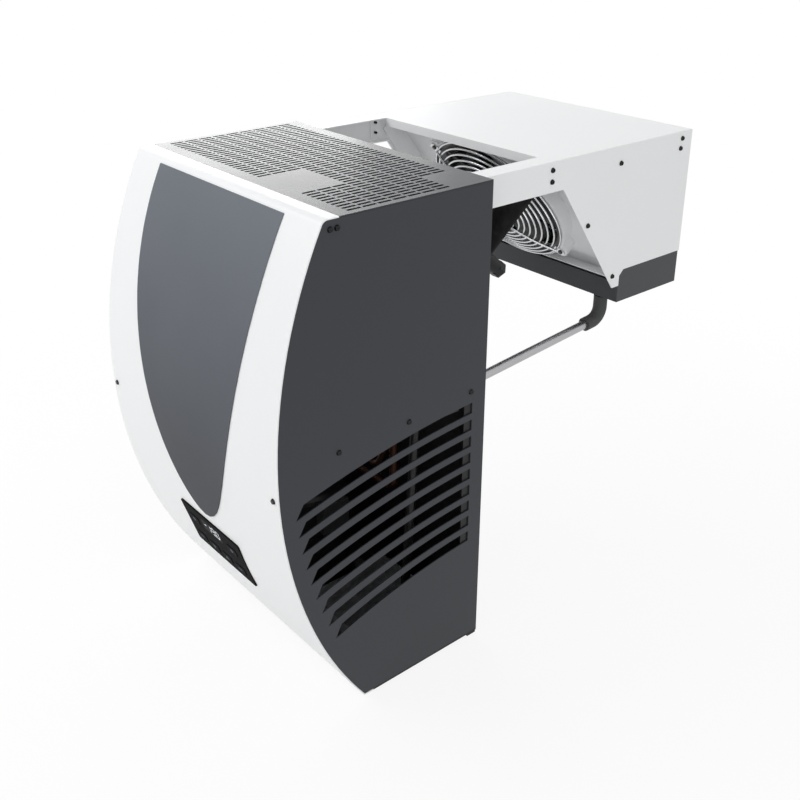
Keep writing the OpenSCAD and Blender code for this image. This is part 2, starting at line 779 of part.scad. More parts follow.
module compressor() {
    dome = 34;
    color([0.08, 0.08, 0.09]) difference() {
        union() {
            translate([comp_x, comp_y, foot_z]) rotate_extrude($fn = 60)
                polygon(concat([[0, 0], [comp_r - 14, 0]],
                [for (a = [0 : 15 : 75]) [comp_r - 14 + 14 * sin(a), 14 - 14 * cos(a)]],
                [for (a = [0 : 10 : 90]) [comp_r * cos(a), comp_h - dome + dome * sin(a)]]));
            translate([comp_x, comp_y, foot_z + 78]) cylinder(r = comp_r + 2.5, h = 5);
            translate([comp_x - foot_x - 10, comp_y - foot_y - 10, foot_z])
                cube([2 * foot_x + 20, 2 * foot_y + 20, foot_t]);
        }
        for (p = foot_points) translate([p[0], p[1], foot_z - 1]) cylinder(r = 7, h = foot_t + 2);
    }
    color([0.08, 0.08, 0.09]) for (p = pipe_stubs) translate([p[0], p[1], foot_z + comp_h - 50])
        cylinder(r = 8, h = 42);
}

module compressor_grommets() {
    color([0.1, 0.1, 0.1]) for (p = foot_points) translate([p[0], p[1], base_z]) {
        cylinder(r = grommet_r, h = grommet_h);
        translate([0, 0, grommet_h - eps]) cylinder(r = 6.8, h = foot_t + 2 * eps);
        translate([0, 0, grommet_h + foot_t]) cylinder(r1 = 9, r2 = 7, h = 4);
        translate([0, 0, -base_t - 1]) cylinder(r = stud_r - shank_gap, h = base_t + 1 + eps);
    }
}

cap_z = foot_z + 96;
module compressor_cap() {
    color([0.15, 0.15, 0.16]) difference() {
        translate([comp_x + comp_r - 14, comp_y - 22, cap_z]) cube([30, 44, 46]);
        translate([comp_x, comp_y, cap_z - 1]) cylinder(r = comp_r + 0.1, h = 50);
    }
}

drier_x = -hood_w / 2 + 50;
drier_y = -60;
drier_z = -330;
module filter_drier() {
    color([0.72, 0.42, 0.25]) translate([drier_x, drier_y, drier_z]) {
        cylinder(r = 14, h = 90);
        translate([0, 0, 90]) cylinder(r1 = 14, r2 = copper_r + 1, h = 14);
        translate([0, 0, -14]) cylinder(r1 = copper_r + 1, r2 = 14, h = 14);
    }
}

module discharge_pipe() {
    x = -hood_w / 2 + 17;
    color([0.72, 0.42, 0.25])
        bent_bar([[pipe_stubs[0][0], pipe_stubs[0][1], stub_z], [pipe_stubs[0][0], pipe_stubs[0][1], -400],
        [x, pipe_stubs[0][1], -400], [x, pipe_stubs[0][1], -300], [x, -30, -215], [x, -30, -160],
        [drier_x, -30, -160], [drier_x, cond_coil_y1 + 0.1, -160]], copper_r, 12);
}

module liquid_pipe() {
    color([0.72, 0.42, 0.25]) {
        bent_bar([[drier_x, drier_y, drier_z + 104], [drier_x, drier_y, -206], [drier_x, -100, -206],
            [drier_x, -100, cond_coil_z0 - 0.1]], copper_r, 10);
        bent_bar([[drier_x, drier_y, drier_z - 14], [drier_x, drier_y, -380],
            [liquid_x - 60, drier_y, -380],
            [liquid_x, liquid_pipe_y, -220], [liquid_x, liquid_pipe_y, liquid_z],
                [liquid_x, line_in_y - 0.1, liquid_z]],
            copper_r, 14);
    }
}

module suction_pipe() {
    x = suction_x - 48;
    y = pipe_stubs[1][1];
    jog = -208;
    color([0.72, 0.42, 0.25])
        bent_bar([[pipe_stubs[1][0], y, stub_z], [pipe_stubs[1][0], y, -395], [x, y, -395],
        [x, y, jog], [x, suction_pipe_y, jog], [suction_x, suction_pipe_y, jog],
            [suction_x, suction_pipe_y, suction_z],
        [suction_x, line_in_y - 0.1, suction_z]], copper_r + 1, 13);
}

module condensate_pan() {
    color([0.6, 0.62, 0.64]) translate([pan_x0, pan_y0, base_z]) difference() {
        cube([pan_x1 - pan_x0, pan_y1 - pan_y0, pan_h]);
        translate([pan_t, pan_t, pan_t])
            cube([pan_x1 - pan_x0 - 2 * pan_t, pan_y1 - pan_y0 - 2 * pan_t, pan_h]);
    }
}

// Lines that cross over the wall

function line_route(x, z, top) = let (run = (top - z) / tan(line_rise))
    [[x, line_in_y, z], [x, line_out_y, z],
    [x, line_out_y + run, top], [x, line_end_y, top]];

module suction_line() {
    color([0.1, 0.1, 0.1]) bent_bar(line_route(suction_x, suction_z, suction_top), suction_r, line_bend);
}

module liquid_line() {
    color([0.1, 0.1, 0.1]) bent_bar(line_route(liquid_x, liquid_z, liquid_top), liquid_r, line_bend);
}

module cable_conduit() {
    color([0.13, 0.13, 0.14]) bent_bar(line_route(conduit_x, conduit_z, conduit_top), conduit_r, line_bend);
}

module grommet(r, gap = shank_gap) {
    rotate([90, 0, 0]) difference() {
        union() {
            translate([0, 0, -2]) cylinder(r = r + grommet_lip + 2, h = 2);
            cylinder(r = r + grommet_lip - shank_gap, h = sheet_t);
            translate([0, 0, sheet_t]) cylinder(r = r + grommet_lip + 2, h = 2);
        }
        translate([0, 0, -3]) cylinder(r = r + gap, h = sheet_t + 6);
    }
}

module rear_grommets() {
    color([0.06, 0.06, 0.06]) {
        translate([suction_x, 0, suction_z]) grommet(suction_r);
        translate([liquid_x, 0, liquid_z]) grommet(liquid_r);
        translate([conduit_x, 0, conduit_z]) grommet(conduit_r);
        translate([drain_x, 0, drain_wall_z]) grommet(drain_r, 0.5);
    }
}

module cable_gland() {
    color([0.36, 0.37, 0.38]) translate([gland_x, 0, gland_z]) difference() {
        union() {
            rotate([90, 0, 0]) translate([0, 0, -4]) cylinder(r = gland_bore_r + 6, h = 4);
            rotate([90, 0, 0]) cylinder(r = gland_bore_r + 3, h = 8);
            intersection() {
                union() {
                    translate([0, 4, 0]) sphere(r = gland_bore_r + 5.3);
                    translate([0, 4, 0]) rotate([-90 - gland_tilt, 0, 0])
                        cylinder(r = gland_bore_r + 5, h = gland_l);
                }
                translate([-40, 0.5, -60]) cube([80, 80, 100]);
            }
        }
        translate([0, 4, 0]) rotate([-90 - gland_tilt, 0, 0]) cylinder(r = gland_bore_r, h = gland_l + 1);
        rotate([90, 0, 0]) translate([0, 0, -4]) cylinder(r = gland_bore_r, h = 13);
        translate([0, 4, 0]) sphere(r = gland_bore_r + 0.2);
    }
}

module gland_nut() {
    color([0.36, 0.37, 0.38]) translate([gland_x, 4, gland_z]) rotate([-90 - gland_tilt, 0, 0])
        translate([0, 0, gland_l + eps]) difference() {
            union() {
                cylinder(r = gland_bore_r + 6, h = 11, $fn = 6);
                translate([0, 0, 11]) cylinder(r1 = gland_bore_r + 4, r2 = gland_bore_r + 2, h = 3);
            }
            translate([0, 0, -1]) cylinder(r = gland_bore_r, h = 20);
        }
}

// Arms and evaporator housing

module evap_outline() {
    polygon([[0, 0], [arm_l, 0], [toe_y, -slope_h], [toe_y + toe_w, -slope_h],
        [toe_y + toe_w, -evap_drop - 8],
        [toe_y + toe_w + 8, -evap_drop], [evap_rear, -evap_drop], [evap_rear, arm_top], [0, arm_top]]);
}

arm_bolt_x = evap_in - 14;
arm_bolt_z = [12, 28];
module evap_side() {
    difference() {
        union() {
            across(evap_t, evap_in + evap_t / 2) evap_outline();
            translate([evap_x - arm_flange, 0, arm_top - evap_t]) cube([arm_flange - eps, cover_y, evap_t]);
            translate([evap_x - seat_flange, 0, 0]) cube([seat_flange - eps, arm_l, evap_t]);
            translate([evap_x - arm_flange, 0, 0]) cube([arm_flange - eps, evap_t, arm_top]);
            translate([evap_x - flange_w, evap_rear - evap_t, -evap_drop])
                cube([flange_w - eps, evap_t, arm_top + evap_drop - evap_t - panel_gap]);
        }
        for (p = evap_side_screws) translate([evap_x, p[0], p[1]]) rotate([0, 90, 0]) screw_hole();
        for (z = arm_bolt_z) translate([arm_bolt_x, 3, z]) rotate([90, 0, 0])
            cylinder(r = 3 + shank_gap, h = 6);
    }
}

module evap_side_left() {
    color([0.87, 0.87, 0.87]) mirror([1, 0, 0]) evap_side();
}

module evap_side_right() {
    color([0.87, 0.87, 0.87]) evap_side();
}

module evap_cover() {
    half = evap_in - panel_gap;
    front_half = evap_x - arm_flange - panel_gap;
    color([0.93, 0.93, 0.93]) difference() {
        union() {
            translate([-half, cover_y + panel_gap, arm_top - evap_t])
                cube([2 * half, evap_rear - cover_y - panel_gap, evap_t]);
            translate([-front_half, cover_y + panel_gap, arm_top - cover_lip])
                cube([2 * front_half, evap_t, cover_lip]);
            both_sides() translate([half - evap_t, cover_y + 68, arm_top - 32])
                cube([evap_t, evap_rear - cover_y - 72, 32 - eps]);
            both_sides() translate([half - evap_t, cover_y - 9, 6])
                cube([evap_t, 20, arm_top - evap_t - panel_gap - 6]);
            both_sides() translate([half - evap_t, cover_y + panel_gap, 6])
                cube([evap_t, 11 - panel_gap, arm_top - 6 - eps]);
        }
        both_sides() for (k = [0, 1, 2, 5, 6])
            translate([evap_x, evap_side_screws[k][0], evap_side_screws[k][1]])
            rotate([0, 90, 0]) screw_hole();
    }
}

// Outline of the raised fan mount with its four lobes, grown by the given distance
module mount_outline(grow) {
    circle(mount_r + grow, $fn = 96);
    for (x = [-1, 1], y = [-1, 1]) translate([x * lobe_at, y * lobe_at]) circle(lobe_r + grow);
}

module fan_plate() {
    half = evap_in - panel_gap;
    neck = plate_s1 - plate_neck;
    color([0.85, 0.85, 0.86]) difference() {
        union() {
            on_plate() translate([-half, fan_s - neck, -plate_t])
                cube([2 * half, neck - plate_s0, plate_t]);
            on_plate() translate([-half + 2, fan_s - plate_s1, -plate_t])
                cube([2 * half - 4, plate_neck + eps, plate_t]);
            intersection() {
                on_plate() linear_extrude(mount_h) mount_outline(0);
                translate([-evap_x, 0, -far]) cube([evap_w, far, far + arm_top - evap_t - 2]);
            }
            on_plate() translate([-half + 3, fan_s - plate_s1 + 0.4 * plate_t, -0.6 * plate_t])
                rotate([-plate_tilt, 0, 0])
                cube([2 * half - 6, 0.8 * plate_t, plate_lip]);
            both_sides() on_plate() translate([half - plate_t, fan_s - plate_flange_s, -plate_t])
                cube([plate_t, plate_flange_s - plate_s0 - 2, plate_flange + plate_t]);
        }
        on_plate() translate([0, 0, -plate_t - 1]) linear_extrude(mount_h + 1) mount_outline(-plate_t);
        on_plate() cylinder(r = orifice_evap_r, h = 60);
        for (x = [-1, 1], y = [-1, 1]) on_plate(mount_h)
            translate([x * guard_screw_at, y * guard_screw_at]) screw_hole();
        for (x = [-1, 1]) on_plate() translate([x * (mount_r + 10), 0, -plate_t - 1])
            cylinder(r = shank_r + shank_gap, h = plate_t + 2);
        plate_hole(suction_x, suction_top, suction_r + 1);
        plate_hole(liquid_x, liquid_top, liquid_r + 0.8);
        plate_hole(conduit_x, conduit_top, conduit_r + 1);
        both_sides() for (k = [3, 4]) translate([evap_x, evap_side_screws[k][0], evap_side_screws[k][1]])
            rotate([0, 90, 0]) screw_hole();
    }
}

module plate_hole(x, z, r) {
    translate([x, arm_l + 15, z]) rotate([-90, 0, 0]) cylinder(r = r, h = 60);
}

// Guard of rings on a dome, carried by four arched spokes that end in flat lugs
dome_r = (guard_r * guard_r + dome_h * dome_h) / 2 / dome_h;
function dome_z(r) = sqrt(dome_r * dome_r - r * r) - dome_r + dome_h;
inner_ring = 16;
function ring_at(i) = inner_ring + (guard_r - inner_ring) * i / (ring_n - 1);

module fan_guard() {
    spoke_angle = asin(guard_r / dome_r);
    color([0.85, 0.86, 0.87]) on_plate(mount_h + guard_n) {
        for (i = [0 : ring_n - 1]) translate([0, 0, dome_z(ring_at(i))]) rotate_extrude($fn = 72)
            translate([ring_at(i), 0]) circle(wire_r, $fn = 24);
        for (a = [45 : 90 : 315]) rotate(a) {
            translate([0, 0, dome_h - dome_r]) rotate([90, 0, 0]) rotate([0, 0, 90 - spoke_angle])
                rotate_extrude(angle = spoke_angle - 1, $fn = 96) translate([dome_r + 1.6 * wire_r, 0])
                    circle(wire_r, $fn = 24);
            translate([guard_r - 2, 0, -guard_n]) difference() {
                linear_extrude(1.6) {
                    translate([guard_screw_r - guard_r + 2, 0]) circle(lug_r);
                    translate([-2, -lug_r]) square([guard_screw_r - guard_r + 4, 2 * lug_r]);
                }
                translate([guard_screw_r - guard_r + 2, 0, -1]) cylinder(r = shank_r + shank_gap, h = 4);
            }
        }
    }
}

evap_motor_n = -12;
module evap_motor() {
    color([0.35, 0.36, 0.38]) on_plate(evap_motor_n) motor();
}

module evap_motor_bracket() {
    color([0.55, 0.56, 0.58]) on_plate(evap_motor_n - motor_l - 6 - bracket_t)
        motor_bracket(mount_r + 10, -evap_motor_n + motor_l + 6 + bracket_t - plate_t, [0, 180]);
}

module evap_fan() {
    color([0.1, 0.1, 0.11]) on_plate(evap_motor_n + 8) axial_fan(evap_fan_r, 5, 28, -1);
}

module evap_fan_shaft() {
    color([0.7, 0.7, 0.72]) on_plate(evap_motor_n - bore_depth + 1)
        cylinder(r = shaft_r, h = bore_depth + shaft_out);
}

module evap_coil() {
    end_x = coil_x + 1;
    top = arm_top - evap_t - panel_gap;
    color([0.78, 0.79, 0.8]) {
        translate([0, (coil_y0 + coil_y1) / 2, coil_z0]) linear_extrude(coil_z1 - coil_z0)
            fin_comb(2 * end_x + 1, coil_y1 - coil_y0, 8, 1.2, 30);
        both_sides() {
            translate([end_x, coil_y0, coil_z0]) cube([1.5, coil_y1 - coil_y0, top - coil_z0]);
            translate([end_x, coil_y0, top - 1.5]) cube([14, coil_y1 - coil_y0, 1.5]);
        }
    }
}

module evap_coil_tubes() {
    pitch = 25;
    color([0.72, 0.42, 0.25]) both_sides() for (i = [0 : 2], y = [-1, 1])
        translate([coil_x + 2.5 + eps, (coil_y0 + coil_y1) / 2 + y * 18, coil_z0 + 14 + i * 2 * pitch])
            rotate([90, 0, 0]) u_bend(pitch, copper_r - 1, 13);
}

module evap_pipes() {
    drop_y = coil_y0 - 14;
    color([0.72, 0.42, 0.25]) {
        bent_bar([[suction_x, line_end_y + 0.1, suction_top], [suction_x, coil_y0 - 0.1, suction_top]],
            copper_r + 1, 10);
        bent_bar([[liquid_x, line_end_y + 0.1, liquid_top], [liquid_x, drop_y, liquid_top],
            [liquid_x, drop_y, -20],
            [liquid_x, coil_y0 - 0.1, -20]], copper_r, 12);
    }
}

module defrost_heater() {
    z = coil_z0 - 5;
    color([0.4, 0.4, 0.42]) translate([0, (coil_y0 + coil_y1) / 2, z])
        bent_bar([[-coil_x + 6, -22, 0], [coil_x - 6, -22, 0], [coil_x - 6, 22, 0], [-coil_x + 6, 22, 0]],
            4, 16);
}

module rear_grille() {
    half = evap_x - flange_w - panel_gap;
    low = -evap_drop;
    high = arm_top - evap_t - panel_gap;
    slats = 11;
    step = (high - low - 16) / slats;
    color([0.86, 0.86, 0.87]) translate([0, evap_rear - 8, 0]) {
        difference() {
            translate([-half, 0, low]) cube([2 * half, 8, high - low]);
            translate([-half + 8, -1, low + 8]) cube([2 * half - 16, 10, high - low - 16]);
        }
        for (i = [0 : slats - 1]) translate([-half + 8 - eps, 0.6, low + 8 + (i + 0.25) * step])
            cube([2 * half - 16 + 2 * eps, 6.8, 2]);
        for (x = [-1, 0, 1]) translate([x * half / 2 - 1, 1, low + 8 - eps])
            cube([2, 6, high - low - 16 + 2 * eps]);
    }
}

// Drip tray and drain

module drip_tray() {
    w = evap_in - panel_gap;
    color([0.26, 0.27, 0.28]) {
        difference() {
            union() {
                translate([-w, tray_y, tray_z0]) cube([2 * w, evap_rear - tray_y, tray_front_h]);
                translate([-w, tray_y + 2, tray_z0])
                    cube([2 * w, evap_rear - tray_y - 2, tray_h - panel_gap]);
            }
            translate([-w + tray_t, tray_y + 2 + tray_t, tray_z0 + tray_front_h])
                cube([2 * (w - tray_t), evap_rear - tray_y - 2 - 2 * tray_t, tray_h]);
            translate([-w + tray_t, tray_y + tray_t, tray_z0 + tray_t])
                cube([2 * (w - tray_t), evap_rear - tray_y - 2 * tray_t, tray_front_h]);
            translate([-w + tray_t, tray_y - 1, tray_z0 + tray_front_h])
                cube([2 * (w - tray_t), 10, tray_h]);
            translate([drain_x, nozzle_y, tray_z0 - 1]) cylinder(r = drain_r, h = 4);
        }
        for (x = [-w, w - tray_t], y = [300, 372]) translate([x, y, tray_z0 + tray_front_h])
            cube([tray_t, 26, tray_h - tray_front_h + 14]);
    }
}

module drain_nozzle() {
    color([0.75, 0.76, 0.77]) translate([drain_x, nozzle_y, 0]) difference() {
        union() {
            translate([0, 0, tray_z0 + tray_t]) cylinder(r = drain_r + 4, h = 1.5);
            translate([0, 0, tray_z0 - 22]) cylinder(r = drain_r - shank_gap, h = 22 + tray_t + eps);
        }
        translate([0, 0, tray_z0 - 23]) cylinder(r = drain_r - drain_wall - 0.5, h = 40);
    }
}

module drain_elbow() {
    route = [[drain_x, nozzle_y, tray_z0 - 4], [drain_x, nozzle_y, drain_z],
        [drain_x, elbow_end[0], elbow_end[1]]];
    d = [0, drain_dir[0], drain_dir[1]];
    color([0.12, 0.12, 0.12]) difference() {
        bent_bar(route, drain_r + elbow_wall, elbow_bend);
        bent_bar([route[0] + [0, 0, 1], route[1], route[2] + 1 * d], drain_r + shank_gap / 2, elbow_bend);
    }
}

drain_wall_z = drain_z - nozzle_y * tan(drain_fall);
module drain_tube() {
    a = elbow_end - tube_in * drain_dir;
    start = [drain_x, a[0], a[1]];
    finish = [drain_x, drain_end[0], drain_end[1]];
    drop = [drain_x, drain_end[0] - 20, -560];
    color([0.68, 0.69, 0.7]) difference() {
        bent_bar([start, finish, drop], drain_r, 24);
        bent_bar([start - unit(finish - start), finish, drop - [0, 0, 1]], drain_r - drain_wall, 24);
    }
}

// Fasteners

module hood_screws() {
    color([0.08, 0.08, 0.08]) {
        both_sides() translate([front_screw_x, 0, 0]) on_front(front_screw_z) screw();
        both_sides() for (p = hood_side_screws) translate([hood_w / 2, p[0], p[1]]) rotate([0, 90, 0])
            screw();
    }
}

module evap_screws() {
    color([0.08, 0.08, 0.08]) {
        both_sides() for (p = evap_side_screws) translate([evap_x, p[0], p[1]]) rotate([0, 90, 0]) screw();
        for (x = [-1, 1], y = [-1, 1]) on_plate(mount_h)
            translate([x * guard_screw_at, y * guard_screw_at, 1.6]) screw();
    }
}

module arm_bolts() {
    color([0.6, 0.6, 0.62]) both_sides() for (z = arm_bolt_z) translate([arm_bolt_x, -sheet_t, z])
        rotate([90, 0, 0]) {
        cylinder(r = 5.5, h = 4, $fn = 6);
        translate([0, 0, -10]) cylinder(r = 3, h = 10);
        translate([0, 0, -sheet_t - evap_t - 5]) cylinder(r = 5.5, h = 5, $fn = 6);
    }
}

front_cover();
front_trim();
control_panel();
display_window();
key(0);  // key_1
key(1);  // key_2
key(2);  // key_3
key(3);  // key_4
key(4);  // key_5
key(5);  // key_6
control_board();
control_box();
side_panel_left();
side_panel_right();
top_grille();
back_plate();
base_plate();
condenser_coil();
condenser_tubes();
condenser_brackets();
condenser_shroud();
condenser_motor();
condenser_motor_bracket();
condenser_fan();
condenser_fan_shaft();
compressor();
compressor_grommets();
compressor_cap();
filter_drier();
discharge_pipe();
liquid_pipe();
suction_pipe();
condensate_pan();
cable_gland();
gland_nut();
suction_line();
liquid_line();
cable_conduit();
rear_grommets();
evap_side_left();
evap_side_right();
evap_cover();
fan_plate();
fan_guard();
evap_motor();
evap_motor_bracket();
evap_fan();
evap_fan_shaft();
evap_coil();
evap_coil_tubes();
evap_pipes();
defrost_heater();
rear_grille();
drip_tray();
drain_nozzle();
drain_elbow();
drain_tube();
hood_screws();
evap_screws();
arm_bolts();
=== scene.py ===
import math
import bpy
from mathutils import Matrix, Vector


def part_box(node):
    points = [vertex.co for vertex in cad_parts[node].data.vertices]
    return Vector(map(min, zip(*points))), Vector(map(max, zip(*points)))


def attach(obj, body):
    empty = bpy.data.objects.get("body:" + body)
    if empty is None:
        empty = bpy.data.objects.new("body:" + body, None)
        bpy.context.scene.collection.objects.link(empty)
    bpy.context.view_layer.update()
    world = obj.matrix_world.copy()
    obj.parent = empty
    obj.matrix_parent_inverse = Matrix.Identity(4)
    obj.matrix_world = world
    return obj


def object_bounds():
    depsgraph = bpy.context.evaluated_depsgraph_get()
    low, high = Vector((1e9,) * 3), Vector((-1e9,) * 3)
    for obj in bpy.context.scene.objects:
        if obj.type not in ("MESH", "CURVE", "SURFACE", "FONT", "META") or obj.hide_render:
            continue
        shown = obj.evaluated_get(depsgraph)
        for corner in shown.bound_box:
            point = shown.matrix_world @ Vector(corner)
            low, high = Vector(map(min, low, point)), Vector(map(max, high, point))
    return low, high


bl_info = {
    "name": "Cold Room Straddle Unit",
    "version": (1, 0, 0),
    "blender": (4, 5, 0),
    "location": "3D View > Sidebar > Cold Unit",
    "description": "Finishes, control panel details and studio for a wall-mounted refrigeration unit",
    "category": "Object",
}

import bmesh
import bpy
from bpy.props import FloatProperty, FloatVectorProperty, PointerProperty
from mathutils import Matrix, Vector

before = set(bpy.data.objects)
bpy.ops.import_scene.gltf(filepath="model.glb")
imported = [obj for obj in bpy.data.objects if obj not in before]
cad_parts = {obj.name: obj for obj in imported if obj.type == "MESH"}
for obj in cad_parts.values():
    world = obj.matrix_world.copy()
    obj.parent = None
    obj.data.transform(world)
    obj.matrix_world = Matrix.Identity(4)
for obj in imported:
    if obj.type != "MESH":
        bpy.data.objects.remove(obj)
cad_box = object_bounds()

# The bow of the front, seen from the side, in metres
BOW_R, BOW_REACH, BOW_DROP = 0.62, 0.314, 0.243
# Depths below the arms: the control panel's middle and the front's two screws
PANEL_DROP, FRONT_SCREW_DROP = 0.4375, 0.268
# How far from the middle the screwed sides of the hood and of the housing and the front's screws are
HOOD_HALF, HOUSING_HALF, FRONT_SCREW_HALF = 0.2, 0.179, 0.19
# How far display window, key and screw head stand out of the sheet below them
WINDOW_RISE, KEY_RISE, SCREW_RISE = 0.00122, 0.00181, 0.00196
# Thickness of the digits, marks and recesses that lie on them
DIGIT_H, MARK_H, RECESS_H = 0.00008, 0.00006, 0.00004
# Middle of the fan on the sloping fan plate, the plate's upward direction, radius of the guard's seat, which
# is painted black as shade
FAN_Y, FAN_Z, PLATE_Y, PLATE_Z, SEAT_SHADE_R = 0.21326, -0.06465, -0.5793, 0.8151, 0.1125
# The drain tube is painted black as shade on the hood's side of this plane
TUBE_SHADE_Y = -0.002
# Camera: where it stands, and its axes
EYE = (1.020, -0.8306, 0.3642)
EYE_RIGHT = (0.64269, 0.76612, 0.00335)
EYE_UP = (-0.30341, 0.25051, 0.91934)
EYE_BACK = (0.70349, -0.59187, 0.39344)

BLACK = (0.006, 0.006, 0.006)
# Black painted as shade on the drain tube inside the hood
TUBE_SHADE_BLACK = (0.008, 0.008, 0.008)
OFF, ON = (0,), (1,)


def screen_rgb(red, green, blue):
    """A colour read as 0 to 255 on screen, as the linear colour that a shader takes."""
    linear = []
    for value in (red, green, blue):
        v = value / 255
        linear.append(v / 12.92 if v <= 0.04045 else ((v + 0.055) / 1.055) ** 2.4)
    return tuple(linear)


# Looks, lamps and lens that a user may change


class SheetSettings(bpy.types.PropertyGroup):
    white: FloatVectorProperty(
        name="White coat", description="Powder coat of the front and the evaporator housing",
        subtype="COLOR", default=screen_rgb(238, 239, 240), min=0, max=1)
    slate: FloatVectorProperty(
        name="Slate coat", description="Powder coat of the side panels and the perforated top",
        subtype="COLOR", default=screen_rgb(58, 60, 64), min=0, max=1)
    # The trim's two colours paint a shading from its lit top down to its darker tip
    trim_lit_top: FloatVectorProperty(
        name="Trim, top", description="Colour of the shield trim at its top edge",
        subtype="COLOR", default=screen_rgb(106, 111, 119), min=0, max=1)
    trim_shaded_tip: FloatVectorProperty(
        name="Trim, tip", description="Colour of the shield trim at its tip",
        subtype="COLOR", default=screen_rgb(50, 52, 58), min=0, max=1)
    peel: FloatProperty(
        name="Orange peel", description="Height of the ripples in the powder coat",
        subtype="DISTANCE", unit="LENGTH", default=0.00012, min=0, max=0.001)


class PlasticSettings(bpy.types.PropertyGroup):
    tray: FloatVectorProperty(
        name="Tray", description="Colour of the drip tray",
        subtype="COLOR", default=screen_rgb(66, 68, 71), min=0, max=1)
    gland: FloatVectorProperty(
        name="Gland", description="Colour of the cable gland",
        subtype="COLOR", default=screen_rgb(24, 25, 27), min=0, max=1)
    key: FloatVectorProperty(
        name="Keys", description="Colour of the keys",
        subtype="COLOR", default=screen_rgb(40, 41, 43), min=0, max=1)
    glow: FloatVectorProperty(
        name="Display glow", description="Colour of the lit digits",
        subtype="COLOR", default=screen_rgb(228, 230, 234), min=0, max=1)
    glow_strength: FloatProperty(
        name="Glow strength", description="Brightness of the lit digits",
        default=0.7, min=0, max=5)


class StudioSettings(bpy.types.PropertyGroup):
    lens: FloatProperty(
        name="Lens", description="Focal length of the camera on a 36 mm sensor, in millimetres",
        default=46.55, min=20, max=120)
    key_light: FloatProperty(
        name="Key light", description="Power of the large lamp on the left",
        subtype="POWER", default=24.5, min=0, max=200)
    fill_light: FloatProperty(
        name="Fill light", description="Power of the lamp on the right, and of the small one in the gap",
        subtype="POWER", default=9, min=0, max=200)
    top_light: FloatProperty(
        name="Top light", description="Power of the lamp behind the unit that shines on the top",
        subtype="POWER", default=4, min=0, max=200)
    sheen_light: FloatProperty(
        name="Sheen light", description="Power of the lamp that glints on the perforated top",
        subtype="POWER", default=6.5, min=0, max=200)
    room_light: FloatProperty(
        name="Room light", description="Strength of the even light from all around",
        default=0.62, min=0, max=2)


# Shader maths


class Link:
    """A socket that can be used in Python expressions."""

    def __init__(self, finish, socket):
        self.finish = finish
        self.socket = socket

    def _maths(self, operation, first, second):
        return self.finish.node("ShaderNodeMath", {"operation": operation}, {0: first, 1: second})

    def __add__(self, other):
        return self._maths("ADD", self, other)

    def __radd__(self, other):
        return self._maths("ADD", other, self)

    def __sub__(self, other):
        return self._maths("SUBTRACT", self, other)

    def __rsub__(self, other):
        return self._maths("SUBTRACT", other, self)

    def __mul__(self, other):
        return self._maths("MULTIPLY", self, other)

    def __rmul__(self, other):
        return self._maths("MULTIPLY", other, self)

    def __truediv__(self, other):
        return self._maths("DIVIDE", self, other)

    def __lt__(self, other):
        return self._maths("LESS_THAN", self, other)


class Network:
    """A node tree, to which nodes are added by type, options and values."""

    def __init__(self, tree):
        self.tree = tree

    def node(self, kind, options, values, output=0):
        """Adds a node: its options are set first, then its sockets get values or links."""
        made = self.tree.nodes.new(kind)
        for key, value in options.items():
            if key == "stops":
                self._set_stops(made.color_ramp, value)
            else:
                setattr(made, key, value)
        for key, value in values.items():
            self.give(made.inputs[key], value)
        return None if output is None else Link(self, made.outputs[output])

    @staticmethod
    def _set_stops(ramp, stops):
        """Sets the stops of a colour ramp, each a position and a colour or a single grey."""
        while len(ramp.elements) < len(stops):
            ramp.elements.new(0.5)
        for element, (position, colour) in zip(ramp.elements, stops):
            element.position = position
            element.color = (*colour[:3], 1) if len(colour) > 2 else (colour[0],) * 3 + (1,)

    def give(self, socket, value):
        if isinstance(value, Link):
            self.tree.links.new(value.socket, socket)
        else:
            socket.default_value = value

    def backdrop_rays(self):
        """1 where the camera, a gloss or a clear piece looks at the background, otherwise 0."""
        camera = self.node("ShaderNodeLightPath", {}, {}, "Is Camera Ray")
        gloss, clear = (Link(self, camera.socket.node.outputs[name])
                        for name in ("Is Glossy Ray", "Is Transmission Ray"))
        return self.node("ShaderNodeMath", {"operation": "ADD", "use_clamp": True},
                         {0: camera, 1: gloss + clear})

    def blend_shaders(self, factor, first, second):
        return self.node("ShaderNodeMixShader", {}, {0: factor, 1: first, 2: second})


